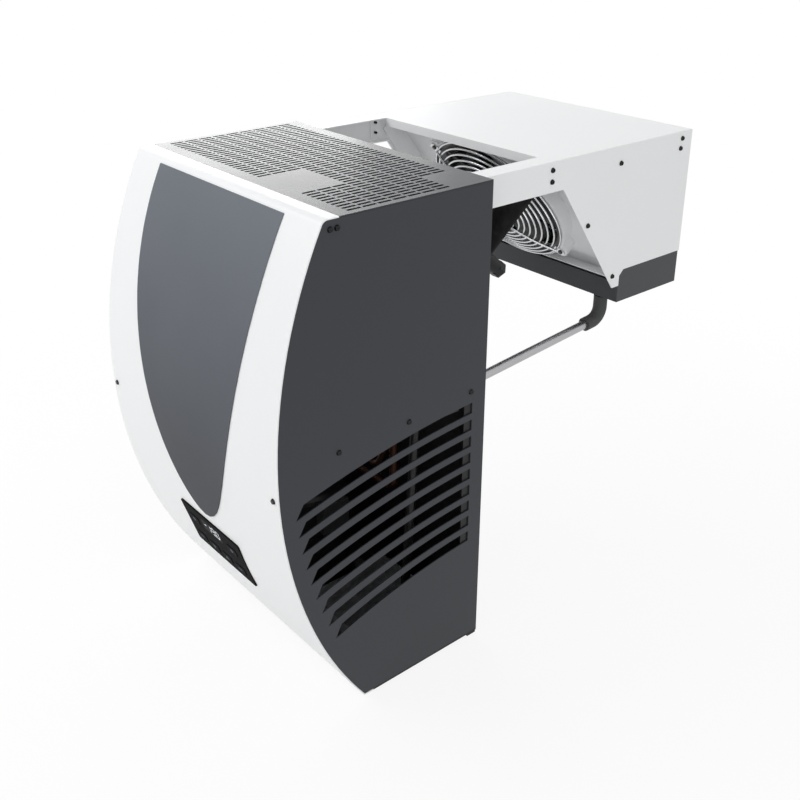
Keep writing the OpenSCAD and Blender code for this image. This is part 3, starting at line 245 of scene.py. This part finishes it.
class Finish(Network):
    """A material on the Principled shader, with its patterns in Object coordinates."""

    def __init__(self, name, colour, roughness, metallic=0.0, specular=0.5,
                 coat=0.0, coat_roughness=0.1):
        self.material = bpy.data.materials.new(name)
        self.material.use_nodes = True
        super().__init__(self.material.node_tree)
        self.shader = self.tree.nodes["Principled BSDF"]
        self.place = self.node("ShaderNodeTexCoord", {}, {}, "Object")
        self.material.diffuse_color = (*colour[:3], 1)
        self.set("Base Color", (*colour[:3], 1))
        self.set("Roughness", roughness)
        self.set("Metallic", metallic)
        self.set("Specular IOR Level", specular)
        self.set("Coat Weight", coat)
        self.set("Coat Roughness", coat_roughness)

    def set(self, name, value):
        self.give(self.shader.inputs[name], value)

    def noise(self, scale, detail=2.0, roughness=0.5, place=None):
        return self.node(
            "ShaderNodeTexNoise", {"noise_dimensions": "3D"},
            {"Vector": place or self.place, "Scale": scale, "Detail": detail, "Roughness": roughness})

    def cells(self, scale, output="Distance"):
        return self.node("ShaderNodeTexVoronoi", {}, {"Vector": self.place, "Scale": scale}, output)

    def part(self, axis):
        return self.node("ShaderNodeSeparateXYZ", {}, {0: self.place}, axis)

    def stretched(self, x, y, z):
        return self.node("ShaderNodeMapping", {}, {"Vector": self.place, "Scale": (x, y, z)})

    def ramp(self, factor, stops, mode="LINEAR"):
        link = self.node("ShaderNodeValToRGB", {"stops": stops}, {"Fac": factor})
        link.socket.node.color_ramp.interpolation = mode
        return link

    def mix(self, factor, first, second):
        # The node's colours are its sockets 6 and 7, and the mixed one leaves it at 2
        first, second = (c if isinstance(c, Link) else (*c[:3], 1) for c in (first, second))
        return self.node("ShaderNodeMix", {"data_type": "RGBA"}, {0: factor, 6: first, 7: second}, 2)

    def bump(self, height, distance, strength):
        values = {"Height": height, "Distance": distance, "Strength": strength}
        return self.node("ShaderNodeBump", {}, values)

    def varied(self, middle, *variations):
        """A value that a pattern between 0 and 1 moves up and down by half of an amount."""
        for pattern, amount in variations:
            middle = middle + (pattern - 0.5) * amount
        return middle


def shade(colour, factor):
    return tuple(min(1, c * factor) for c in colour[:3])


def powder_coat(name, colour, roughness, peel, cloud=0.03, grain=0.03, specular=0.5, black_shade_mask=None):
    """Baked coat on sheet metal: faint clouds in the colour, orange peel and a trace of dust.

    A shade mask is a function that gives where black is painted on the coat as shade, as 0 or 1."""
    finish = Finish(name, colour, roughness, specular=specular)
    clouds = finish.noise(7, detail=3)
    tone = finish.mix(clouds, shade(colour, 1 - cloud), shade(colour, 1 + cloud))
    specks = finish.noise(2600, detail=1)
    dust = finish.ramp(specks, [(0.35, OFF), (0.7, ON)])
    tone = finish.mix(dust, tone, shade(colour, 1 + grain))
    # Black painted as shade where the mask gives 1
    if black_shade_mask:
        tone = finish.mix(black_shade_mask(finish), tone, BLACK)
    finish.set("Base Color", tone)
    finish.set("Roughness", finish.varied(roughness, (clouds, 0.12), (specks, 0.06)))
    ripples = finish.noise(420, detail=1, roughness=0.4)
    finish.set("Normal", finish.bump(ripples, peel, 0.6))
    return finish.material


def fan_seat_shade(finish):
    """1 on the ring of the fan plate that the wire guard covers, measured from the fan's axis, where black is
    painted as shade.
    """
    x, y, z = (finish.part(axis) for axis in "XYZ")
    up = (y - FAN_Y) * PLATE_Y + (z - FAN_Z) * PLATE_Z
    return x * x + up * up < SEAT_SHADE_R ** 2


def tube_shaded_in_hood(finish):
    """1 on the hood's side of the wall face, where the drain tube is painted black as shade."""
    return finish.part("Y") < TUBE_SHADE_Y


def trim_foil(name, top, tip, peel):
    """Satin foil with fine flakes, whose colour darkens towards the tip of the shield as painted shade."""
    finish = Finish(name, top, 0.36, specular=0.0, coat=0.25, coat_roughness=0.25)
    height = finish.part("Z")
    low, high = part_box("front_trim")[0][2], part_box("front_trim")[1][2]
    along = (height - low) / (high - low)
    clouds = finish.noise(9, detail=3)
    flakes = finish.cells(3800)
    # Painted shade: the colour darkens from the top towards the tip
    tone = finish.ramp(along, [(0.0, tip), (1.0, top)])
    finish.set("Base Color", finish.mix(0.02 * flakes + 0.02 * clouds, tone, (1, 1, 1)))
    finish.set("Roughness", 0.33 + clouds * 0.08)
    finish.set("Normal", finish.bump(finish.noise(700, detail=1), peel, 0.3))
    return finish.material


def galvanised(name, colour):
    """Zinc spangle."""
    finish = Finish(name, colour, 0.42, metallic=0.85)
    spangle = finish.cells(90, output="Color")
    tone = finish.node("ShaderNodeSeparateColor", {}, {0: spangle})
    finish.set("Base Color", finish.mix(tone, shade(colour, 0.82), shade(colour, 1.12)))
    finish.set("Roughness", 0.34 + tone * 0.2)
    finish.set("Normal", finish.bump(finish.noise(300, detail=2), 0.0001, 0.4))
    return finish.material


def drawn_metal(name, colour, roughness, axis=(1, 1, 1), tarnish=None, tube_shade_mask=None):
    """Drawn or turned metal with fine lines along a stretch, spots of tarnish and black painted shade where a
    mask gives 1.
    """
    finish = Finish(name, colour, roughness, metallic=1.0)
    lines = finish.noise(900, detail=2, place=finish.stretched(*axis))
    clouds = finish.noise(45, detail=3)
    tone = finish.mix(lines, shade(colour, 0.86), shade(colour, 1.1))
    if tarnish:
        spots = finish.ramp(clouds, [(0.5, OFF), (0.75, (0.55,))])
        tone = finish.mix(spots, tone, tarnish)
    if tube_shade_mask:
        # Black painted as shade, not metal, where the mask gives 1
        shaded_part = tube_shade_mask(finish)
        tone = finish.mix(shaded_part, tone, TUBE_SHADE_BLACK)
        finish.set("Metallic", 1 - shaded_part)
    finish.set("Base Color", tone)
    finish.set("Roughness", finish.varied(roughness, (lines, 0.2), (clouds, 0.15)))
    finish.set("Normal", finish.bump(lines, 0.00005, 0.5))
    return finish.material


def moulded(name, colour, roughness, grain=1500, depth=0.00006, coat=0.0, specular=0.45):
    """Moulded plastic with a fine spark-eroded grain."""
    finish = Finish(name, colour, roughness, specular=specular, coat=coat)
    dimples = finish.cells(grain)
    clouds = finish.noise(14, detail=3)
    finish.set("Base Color", finish.mix(clouds, shade(colour, 0.9), shade(colour, 1.12)))
    finish.set("Roughness", finish.varied(roughness, (clouds, 0.12)))
    finish.set("Normal", finish.bump(dimples, depth, 0.7))
    return finish.material


def foam_rubber(name, colour, roughness=0.75, pore=1100, depth=0.0002):
    """Closed-cell foam or soft rubber with pores and a dusty bloom."""
    finish = Finish(name, colour, roughness, specular=0.1)
    pores = finish.cells(pore)
    bloom = finish.noise(60, detail=4)
    dust = tuple(c + 0.04 for c in colour)
    dusty = finish.ramp(bloom, [(0.45, OFF), (0.8, (0.35,))])
    finish.set("Base Color", finish.mix(dusty, colour, dust))
    finish.set("Roughness", finish.varied(roughness, (bloom, 0.2)))
    finish.set("Normal", finish.bump(pores, depth, 0.8))
    return finish.material


def fin_metal(name, colour, metallic=0.9):
    """Aluminium fins, and fins painted black as shade: each one a little bent, so the block shimmers."""
    finish = Finish(name, colour, 0.35, metallic=metallic, specular=0.2)
    stripes = finish.noise(1, detail=1, place=finish.stretched(420, 4, 4))
    finish.set("Base Color", finish.mix(stripes, shade(colour, 0.65), shade(colour, 1.1)))
    finish.set("Roughness", 0.3 + stripes * 0.25)
    finish.set("Normal", finish.bump(stripes, 0.0004, 0.8))
    return finish.material


def smoked_window(name, colour):
    """Dark glossy plastic with smears."""
    finish = Finish(name, colour, 0.08, specular=0.0, coat=0.12, coat_roughness=0.05)
    smears = finish.noise(120, detail=3)
    finish.set("Roughness", 0.05 + smears * 0.12)
    finish.set("Base Color", finish.mix(smears, shade(colour, 0.8), shade(colour, 1.3)))
    return finish.material


def lit(name, colour, strength):
    """A lit segment."""
    finish = Finish(name, colour, 0.4)
    flicker = finish.noise(900, detail=1)
    finish.set("Emission Color", finish.mix(flicker, shade(colour, 0.85), colour))
    finish.set("Emission Strength", strength)
    return finish.material


def dress(material, *names):
    """Gives CAD nodes a finish."""
    for name in names:
        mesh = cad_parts[name].data
        mesh.materials.clear()
        mesh.materials.append(material)


# New pieces


def plain_object(name, bm, material):
    """Turns a bmesh into an object at the origin."""
    mesh = bpy.data.meshes.new(name)
    bm.to_mesh(mesh)
    bm.free()
    mesh.materials.append(material)
    made = bpy.data.objects.new(name, mesh)
    bpy.context.scene.collection.objects.link(made)
    return made


def to_object(name, bm, material, body="unit"):
    """Turns a bmesh into a finished piece that rides on a body."""
    bmesh.ops.recalc_face_normals(bm, faces=bm.faces)
    made = plain_object(name, bm, material)
    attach(made, body)


def front_frame(drop):
    """The place on the bowed front at a depth below the arms: X right, Y up the bow, Z out of it."""
    tilt = math.asin((-drop + BOW_DROP) / BOW_R)
    centre = Vector((0, BOW_R - BOW_REACH - BOW_R * math.cos(tilt), -drop))
    return Matrix.Translation(centre) @ Matrix.Rotation(math.pi / 2 - tilt, 4, "X")


def raised_shape(bm, outline, place, depth):
    """A flat outline, raised by depth and put at a place."""
    corners = [bm.verts.new(place @ Vector((x, y, 0))) for x, y in outline]
    face = bm.faces.new(corners)
    grown = bmesh.ops.extrude_face_region(bm, geom=[face])
    top = [v for v in grown["geom"] if isinstance(v, bmesh.types.BMVert)]
    bmesh.ops.translate(bm, verts=top, vec=place.to_3x3() @ Vector((0, 0, depth)))


def with_half_turn(corners):
    """The outline whose second half is the first one, turned by half a turn about the middle."""
    return corners + [(-x, -y) for x, y in corners]


# Operators


class COLD_OT_sheet_finishes(bpy.types.Operator):
    """Powder coats, foil and zinc on the sheet metal"""

    bl_idname = "cold.sheet_finishes"
    bl_label = "Sheet metal"

    def execute(self, context):
        sheet = context.scene.sheet_settings
        white = powder_coat("white_powder_coat", sheet.white, 0.42, sheet.peel)
        dress(white, "front_cover", "evap_side_left", "evap_side_right", "evap_cover")
        # The fan plate's seat under the guard is painted black as shade
        dress(powder_coat("white_coat_shaded_seat", sheet.white, 0.42, sheet.peel, black_shade_mask=fan_seat_shade),
              "fan_plate")
        dress(powder_coat("slate_powder_coat", sheet.slate, 0.4, sheet.peel,
                          cloud=0.04, grain=0.12, specular=0.2),
              "side_panel_left", "side_panel_right")
        dress(powder_coat("vent_powder_coat", sheet.slate, 0.27, sheet.peel * 0.4,
                          grain=0.08, specular=0.2),
              "top_grille")
        # Black paint, and on the back plate and the condenser brackets black painted as shade inside the hood
        dress(powder_coat("black_paint_and_shade", (0.01, 0.01, 0.011), 0.4, sheet.peel, specular=0.25),
              "compressor", "base_plate", "back_plate", "condenser_brackets", "condenser_motor_bracket")
        dress(powder_coat("shroud_coat", (0.025, 0.026, 0.028), 0.45, sheet.peel), "condenser_shroud")
        dress(trim_foil("shield_foil", sheet.trim_lit_top, sheet.trim_shaded_tip, sheet.peel), "front_trim")
        dress(galvanised("zinc_sheet", (0.42, 0.43, 0.44)), "evap_motor_bracket", "condensate_pan")
        return {"FINISHED"}


class COLD_OT_plastic_finishes(bpy.types.Operator):
    """Mouldings, rubber and foam"""

    bl_idname = "cold.plastic_finishes"
    bl_label = "Plastic, rubber and foam"

    def execute(self, context):
        plastic = context.scene.plastic_settings
        dress(moulded("tray_moulding", plastic.tray, 0.5, specular=0.3), "drip_tray")
        dress(moulded("gland_moulding", plastic.gland, 0.45, specular=0.2), "cable_gland", "gland_nut")
        dress(moulded("key_rubber", plastic.key, 0.55, grain=2200, depth=0.00003, coat=0.04, specular=0.0),
              *("key_%d" % n for n in range(1, 7)))
        dress(moulded("panel_black", (0.007, 0.007, 0.008), 0.4,
                      grain=900, depth=0.00001, coat=0.06, specular=0.0),
              "control_panel")
        dress(moulded("inner_box_moulding", (0.03, 0.031, 0.033), 0.55), "control_box", "compressor_cap")
        dress(moulded("board_resist", (0.01, 0.09, 0.03), 0.35), "control_board")
        dress(moulded("blade_moulding", (0.016, 0.016, 0.018), 0.38), "condenser_fan", "evap_fan")
        dress(moulded("outlet_moulding", screen_rgb(225, 226, 228), 0.5), "rear_grille")
        dress(moulded("conduit_moulding", BLACK, 0.45, specular=0.2), "cable_conduit")
        dress(foam_rubber("line_foam", (0.005, 0.005, 0.005)), "suction_line", "liquid_line")
        dress(foam_rubber("soft_rubber", (0.078, 0.079, 0.081), 0.6, pore=2400, depth=0.00004),
              "drain_elbow", "rear_grommets", "compressor_grommets")
        dress(smoked_window("smoked_window", (0.02, 0.02, 0.022)), "display_window")
        return {"FINISHED"}


class COLD_OT_metal_finishes(bpy.types.Operator):
    """Tubes, fins, motors, wire and fasteners"""

    bl_idname = "cold.metal_finishes"
    bl_label = "Bare and coated metal"

    def execute(self, context):
        sheet = context.scene.sheet_settings
        # The drain tube is painted black as shade inside the hood
        dress(drawn_metal("drain_steel", (0.44, 0.44, 0.45), 0.32, axis=(1, 0.04, 1), tube_shade_mask=tube_shaded_in_hood),
              "drain_tube")
        dress(drawn_metal("turned_steel", (0.6, 0.6, 0.61), 0.3),
              "condenser_fan_shaft", "evap_fan_shaft", "drain_nozzle", "arm_bolts", "defrost_heater")
        dress(drawn_metal("copper_pipe", (0.5, 0.22, 0.13), 0.34,
                          axis=(1, 1, 0.1), tarnish=(0.12, 0.055, 0.04)),
              "evap_coil_tubes", "evap_pipes")
        # Copper with tarnish, darkened as painted shade for the pipes inside the hood
        dress(drawn_metal("copper_darkened_as_shade", (0.07, 0.033, 0.022), 0.5,
                          axis=(1, 1, 0.1), tarnish=(0.02, 0.014, 0.012)),
              "condenser_tubes", "filter_drier", "discharge_pipe", "liquid_pipe", "suction_pipe")
        dress(fin_metal("fin_aluminium", (0.6, 0.61, 0.62)), "evap_coil")
        # The condenser coil is painted black as the shade seen through the slots
        dress(fin_metal("fin_black_as_shade", (0.03, 0.03, 0.032), metallic=0.2), "condenser_coil")
        dress(powder_coat("motor_enamel", (0.035, 0.036, 0.038), 0.4, sheet.peel),
              "condenser_motor", "evap_motor")
        dress(drawn_metal("guard_wire", (0.56, 0.57, 0.58), 0.22), "fan_guard")
        dress(drawn_metal("black_screw", (0.03, 0.03, 0.032), 0.24), "hood_screws", "evap_screws")
        return {"FINISHED"}


class COLD_OT_display_digits(bpy.types.Operator):
    """Seven-segment digits behind the display window"""

    bl_idname = "cold.display_digits"
    bl_label = "Display digits"

    def execute(self, context):
        plastic = context.scene.plastic_settings
        # The lit bars of a minus sign, 1, 9 and 0
        lit_segments = ("g", "bc", "abcdfg", "abcdef")
        # Each bar's place in half digit widths, across and up, and whether it stands
        bars = {"a": (0, 2, False), "b": (1, 1, True), "c": (1, -1, True), "d": (0, -2, False),
                "e": (-1, -1, True), "f": (-1, 1, True), "g": (0, 0, False)}
        half, pitch, slant = 0.0034, 0.0104, 0.12
        length, thick = half * 0.84, half * 0.15
        bar = [(-length, 0), (-length + thick, thick), (length - thick, thick), (length, 0),
               (length - thick, -thick), (-length + thick, -thick)]
        upright = [(-y, x) for x, y in bar]
        from_middle = (-0.002, 0.0208, WINDOW_RISE)
        bm = bmesh.new()
        face = front_frame(PANEL_DROP) @ Matrix.Translation(from_middle)
        for place, lit_bars in enumerate(lit_segments):
            middle = (place - 1.5) * pitch
            for name in lit_bars:
                across, up, stands = bars[name]
                outline = [(x + middle + across * half + slant * (y + up * half), y + up * half)
                           for x, y in (upright if stands else bar)]
                raised_shape(bm, outline, face, DIGIT_H)
        point_x, point = 0.0096, with_half_turn([(-0.0005, -0.0005), (0.0005, -0.0005)])
        raised_shape(bm, [(x + point_x, y - 2 * half) for x, y in point], face, DIGIT_H)
        glow = lit("lit_segments", plastic.glow, plastic.glow_strength)
        to_object("display_digits", bm, glow)
        return {"FINISHED"}


class COLD_OT_key_marks(bpy.types.Operator):
    """Plain printed marks on the keys"""

    bl_idname = "cold.key_marks"
    bl_label = "Key marks"

    def execute(self, context):
        ink = moulded("key_ink", screen_rgb(104, 106, 109), 0.6, specular=0.0)
        low, high = -0.022, 0.013
        places = [(-0.052, low), (-0.020, low), (0.012, low), (0.044, low), (-0.050, high), (0.044, high)]
        up = [(-0.0046, -0.0030), (0.0046, -0.0030), (0, 0.0040)]
        down = [(x, -y) for x, y in reversed(up)]
        bar = with_half_turn([(-0.0046, -0.0010), (0.0046, -0.0010)])
        diamond = with_half_turn([(-0.0040, 0), (0, -0.0040)])
        shapes = [bar, down, up, bar, diamond, diamond]
        for number, ((x, y), outline) in enumerate(zip(places, shapes), 1):
            bm = bmesh.new()
            place = front_frame(PANEL_DROP) @ Matrix.Translation((x, y, KEY_RISE))
            raised_shape(bm, outline, place, MARK_H)
            to_object("key_mark_%d" % number, bm, ink, "key_%d" % number)
        return {"FINISHED"}


class COLD_OT_screw_recesses(bpy.types.Operator):
    """Crosses of painted shade for the recesses in the screw heads"""

    bl_idname = "cold.screw_recesses"
    bl_label = "Screw recesses"

    def execute(self, context):
        # Flat black crosses on the heads paint the shade of their recesses
        painted_recess_shade = moulded("recess_shadow", (0.002, 0.002, 0.002), 0.8)
        bm = bmesh.new()
        tip, edge = 0.0017, 0.00035
        cross = with_half_turn([(tip, edge), (edge, edge), (edge, tip),
                                (-edge, tip), (-edge, edge), (-tip, edge)])
        # Y and Z of the screws on each side
        hood = [(-0.126, -0.230), (-0.230, -0.233), (-0.025, -0.223), (-0.235, 0.032), (-0.226, 0.032)]
        housing = [(0.125, 0.029), (0.125, 0.014), (0.260, 0.016), (0.201, -0.059), (0.262, -0.145),
                   (0.392, 0.030), (0.390, 0.016)]
        for side in (-1, 1):
            outwards = Matrix.Rotation(side * math.pi / 2, 4, "Y")
            for half, places in ((HOOD_HALF, hood), (HOUSING_HALF, housing)):
                for count, (y, z) in enumerate(places):
                    place = Matrix.Translation((side * (half + SCREW_RISE), y, z)) @ outwards
                    raised_shape(bm, cross, place @ Matrix.Rotation(0.5 + 0.7 * count, 4, "Z"), RECESS_H)
            head = Matrix.Translation((0, 0, SCREW_RISE))
            place = Matrix.Translation((side * FRONT_SCREW_HALF, 0, 0)) @ front_frame(FRONT_SCREW_DROP) @ head
            raised_shape(bm, cross, place @ Matrix.Rotation(0.3 * side, 4, "Z"), RECESS_H)
        to_object("screw_recesses", bm, painted_recess_shade)
        return {"FINISHED"}


class COLD_OT_studio(bpy.types.Operator):
    """Pale floor, soft lamps and the camera"""

    bl_idname = "cold.studio"
    bl_label = "Studio"

    def lamp(self, name, power, size, place, target):
        """A white rectangular lamp that faces a target."""
        data = bpy.data.lights.new(name, "AREA")
        data.energy = power
        data.shape = "RECTANGLE"
        data.size, data.size_y = size
        made = bpy.data.objects.new(name, data)
        made.location = place
        made.rotation_euler = (Vector(target) - Vector(place)).to_track_quat("-Z", "Y").to_euler()
        bpy.context.scene.collection.objects.link(made)

    def backdrop(self):
        """Pale floor that turns pure white away from the unit and keeps a soft shadow near it."""
        finish = Finish("studio_white", (0.9, 0.9, 0.9), 0.8, specular=0.2)
        away = finish.node("ShaderNodeVectorMath", {"operation": "DISTANCE"},
                           {0: finish.place, 1: (0, 0.1, cad_box[0][2])}, "Value")
        # The matt floor keeps 0.13 within 0.36 m of the unit and nothing beyond 1.35 m
        share = finish.ramp(away / 3, [(0.12, (0.87,)), (0.45, ON)], "EASE")
        white = finish.node("ShaderNodeEmission", {}, {"Color": (1, 1, 1, 1), "Strength": 1})
        out = finish.tree.nodes["Material Output"]
        matt = Link(finish, finish.shader.outputs[0])
        finish.give(out.inputs[0], finish.blend_shaders(finish.backdrop_rays() * share, matt, white))
        return finish.material

    def execute(self, context):
        scene = context.scene
        studio = scene.studio_settings
        scene.view_settings.view_transform = "Standard"
        bm = bmesh.new()
        bmesh.ops.create_grid(bm, x_segments=1, y_segments=1, size=6)
        bmesh.ops.translate(bm, verts=bm.verts, vec=(0, 0, cad_box[0][2] - 0.001))
        floor = plain_object("floor", bm, self.backdrop())

        camera = bpy.data.cameras.new("camera")
        camera.lens = studio.lens
        camera.sensor_width = 36
        camera.shift_y = -0.1
        camera.clip_end = 50
        viewer = bpy.data.objects.new("camera", camera)
        turn = Matrix((EYE_RIGHT, EYE_UP, EYE_BACK)).transposed().to_4x4()
        viewer.matrix_world = Matrix.Translation(EYE) @ turn
        scene.collection.objects.link(viewer)
        scene.camera = viewer

        self.lamp("key_lamp", studio.key_light, (1.6, 1.2), (-1.3, -1.9, 1.4), (0, -0.1, -0.2))
        self.lamp("fill_lamp", studio.fill_light, (1.5, 1.5), (2.1, -1.0, 0.6), (0, 0.1, -0.2))
        gap, edge = studio.fill_light * 0.022, studio.sheen_light * 0.1
        self.lamp("gap_lamp", gap, (0.3, 0.1), (0, 0.075, -0.45), (0, 0.12, 0))
        self.lamp("top_lamp", studio.top_light, (1.6, 1.0), (-1.0, 1.4, 1.5), (0, -0.05, 0))
        self.lamp("sheen_lamp", studio.sheen_light, (1.17, 0.5), (-1.3, 0.385, 0.35), (1, 0.385, 0.35))
        self.lamp("sheen_edge", edge, (0.3, 0.5), (-1.3, 1.12, 0.35), (1, 1.12, 0.35))

        world = scene.world or bpy.data.worlds.new("world")
        scene.world = world
        world.use_nodes = True
        world.node_tree.nodes.clear()
        sky = Network(world.node_tree)
        room, seen = (sky.node("ShaderNodeBackground", {}, {0: (1, 1, 1, 1), 1: strength})
                      for strength in (studio.room_light, 1))
        both = sky.blend_shaders(sky.backdrop_rays(), room, seen)
        sky.node("ShaderNodeOutputWorld", {}, {0: both}, None)
        return {"FINISHED"}


class COLD_PT_panel(bpy.types.Panel):
    """The settings and a button for each step"""

    bl_idname = "COLD_PT_panel"
    bl_label = "Cold Room Unit"
    bl_space_type = "VIEW_3D"
    bl_region_type = "UI"
    bl_category = "Cold Unit"

    def draw(self, context):
        scene = context.scene
        groups = (scene.sheet_settings, scene.plastic_settings, scene.studio_settings)
        for group, keys in zip(groups, GROUPS):
            box = self.layout.box()
            for key in keys.__annotations__:
                box.prop(group, key)
        for operator in OPERATORS:
            self.layout.operator(operator.bl_idname)


GROUPS = (SheetSettings, PlasticSettings, StudioSettings)
OPERATORS = (
    COLD_OT_studio, COLD_OT_sheet_finishes, COLD_OT_plastic_finishes, COLD_OT_metal_finishes,
    COLD_OT_display_digits, COLD_OT_key_marks, COLD_OT_screw_recesses)


def register():
    for made in GROUPS + OPERATORS + (COLD_PT_panel,):
        bpy.utils.register_class(made)
    bpy.types.Scene.sheet_settings = PointerProperty(type=SheetSettings)
    bpy.types.Scene.plastic_settings = PointerProperty(type=PlasticSettings)
    bpy.types.Scene.studio_settings = PointerProperty(type=StudioSettings)


def unregister():
    del bpy.types.Scene.studio_settings
    del bpy.types.Scene.plastic_settings
    del bpy.types.Scene.sheet_settings
    for made in reversed(GROUPS + OPERATORS + (COLD_PT_panel,)):
        bpy.utils.unregister_class(made)


def main():
    register()
    for operator in OPERATORS:
        group, name = operator.bl_idname.split(".")
        getattr(getattr(bpy.ops, group), name)()


if __name__ == "__main__":
    main()
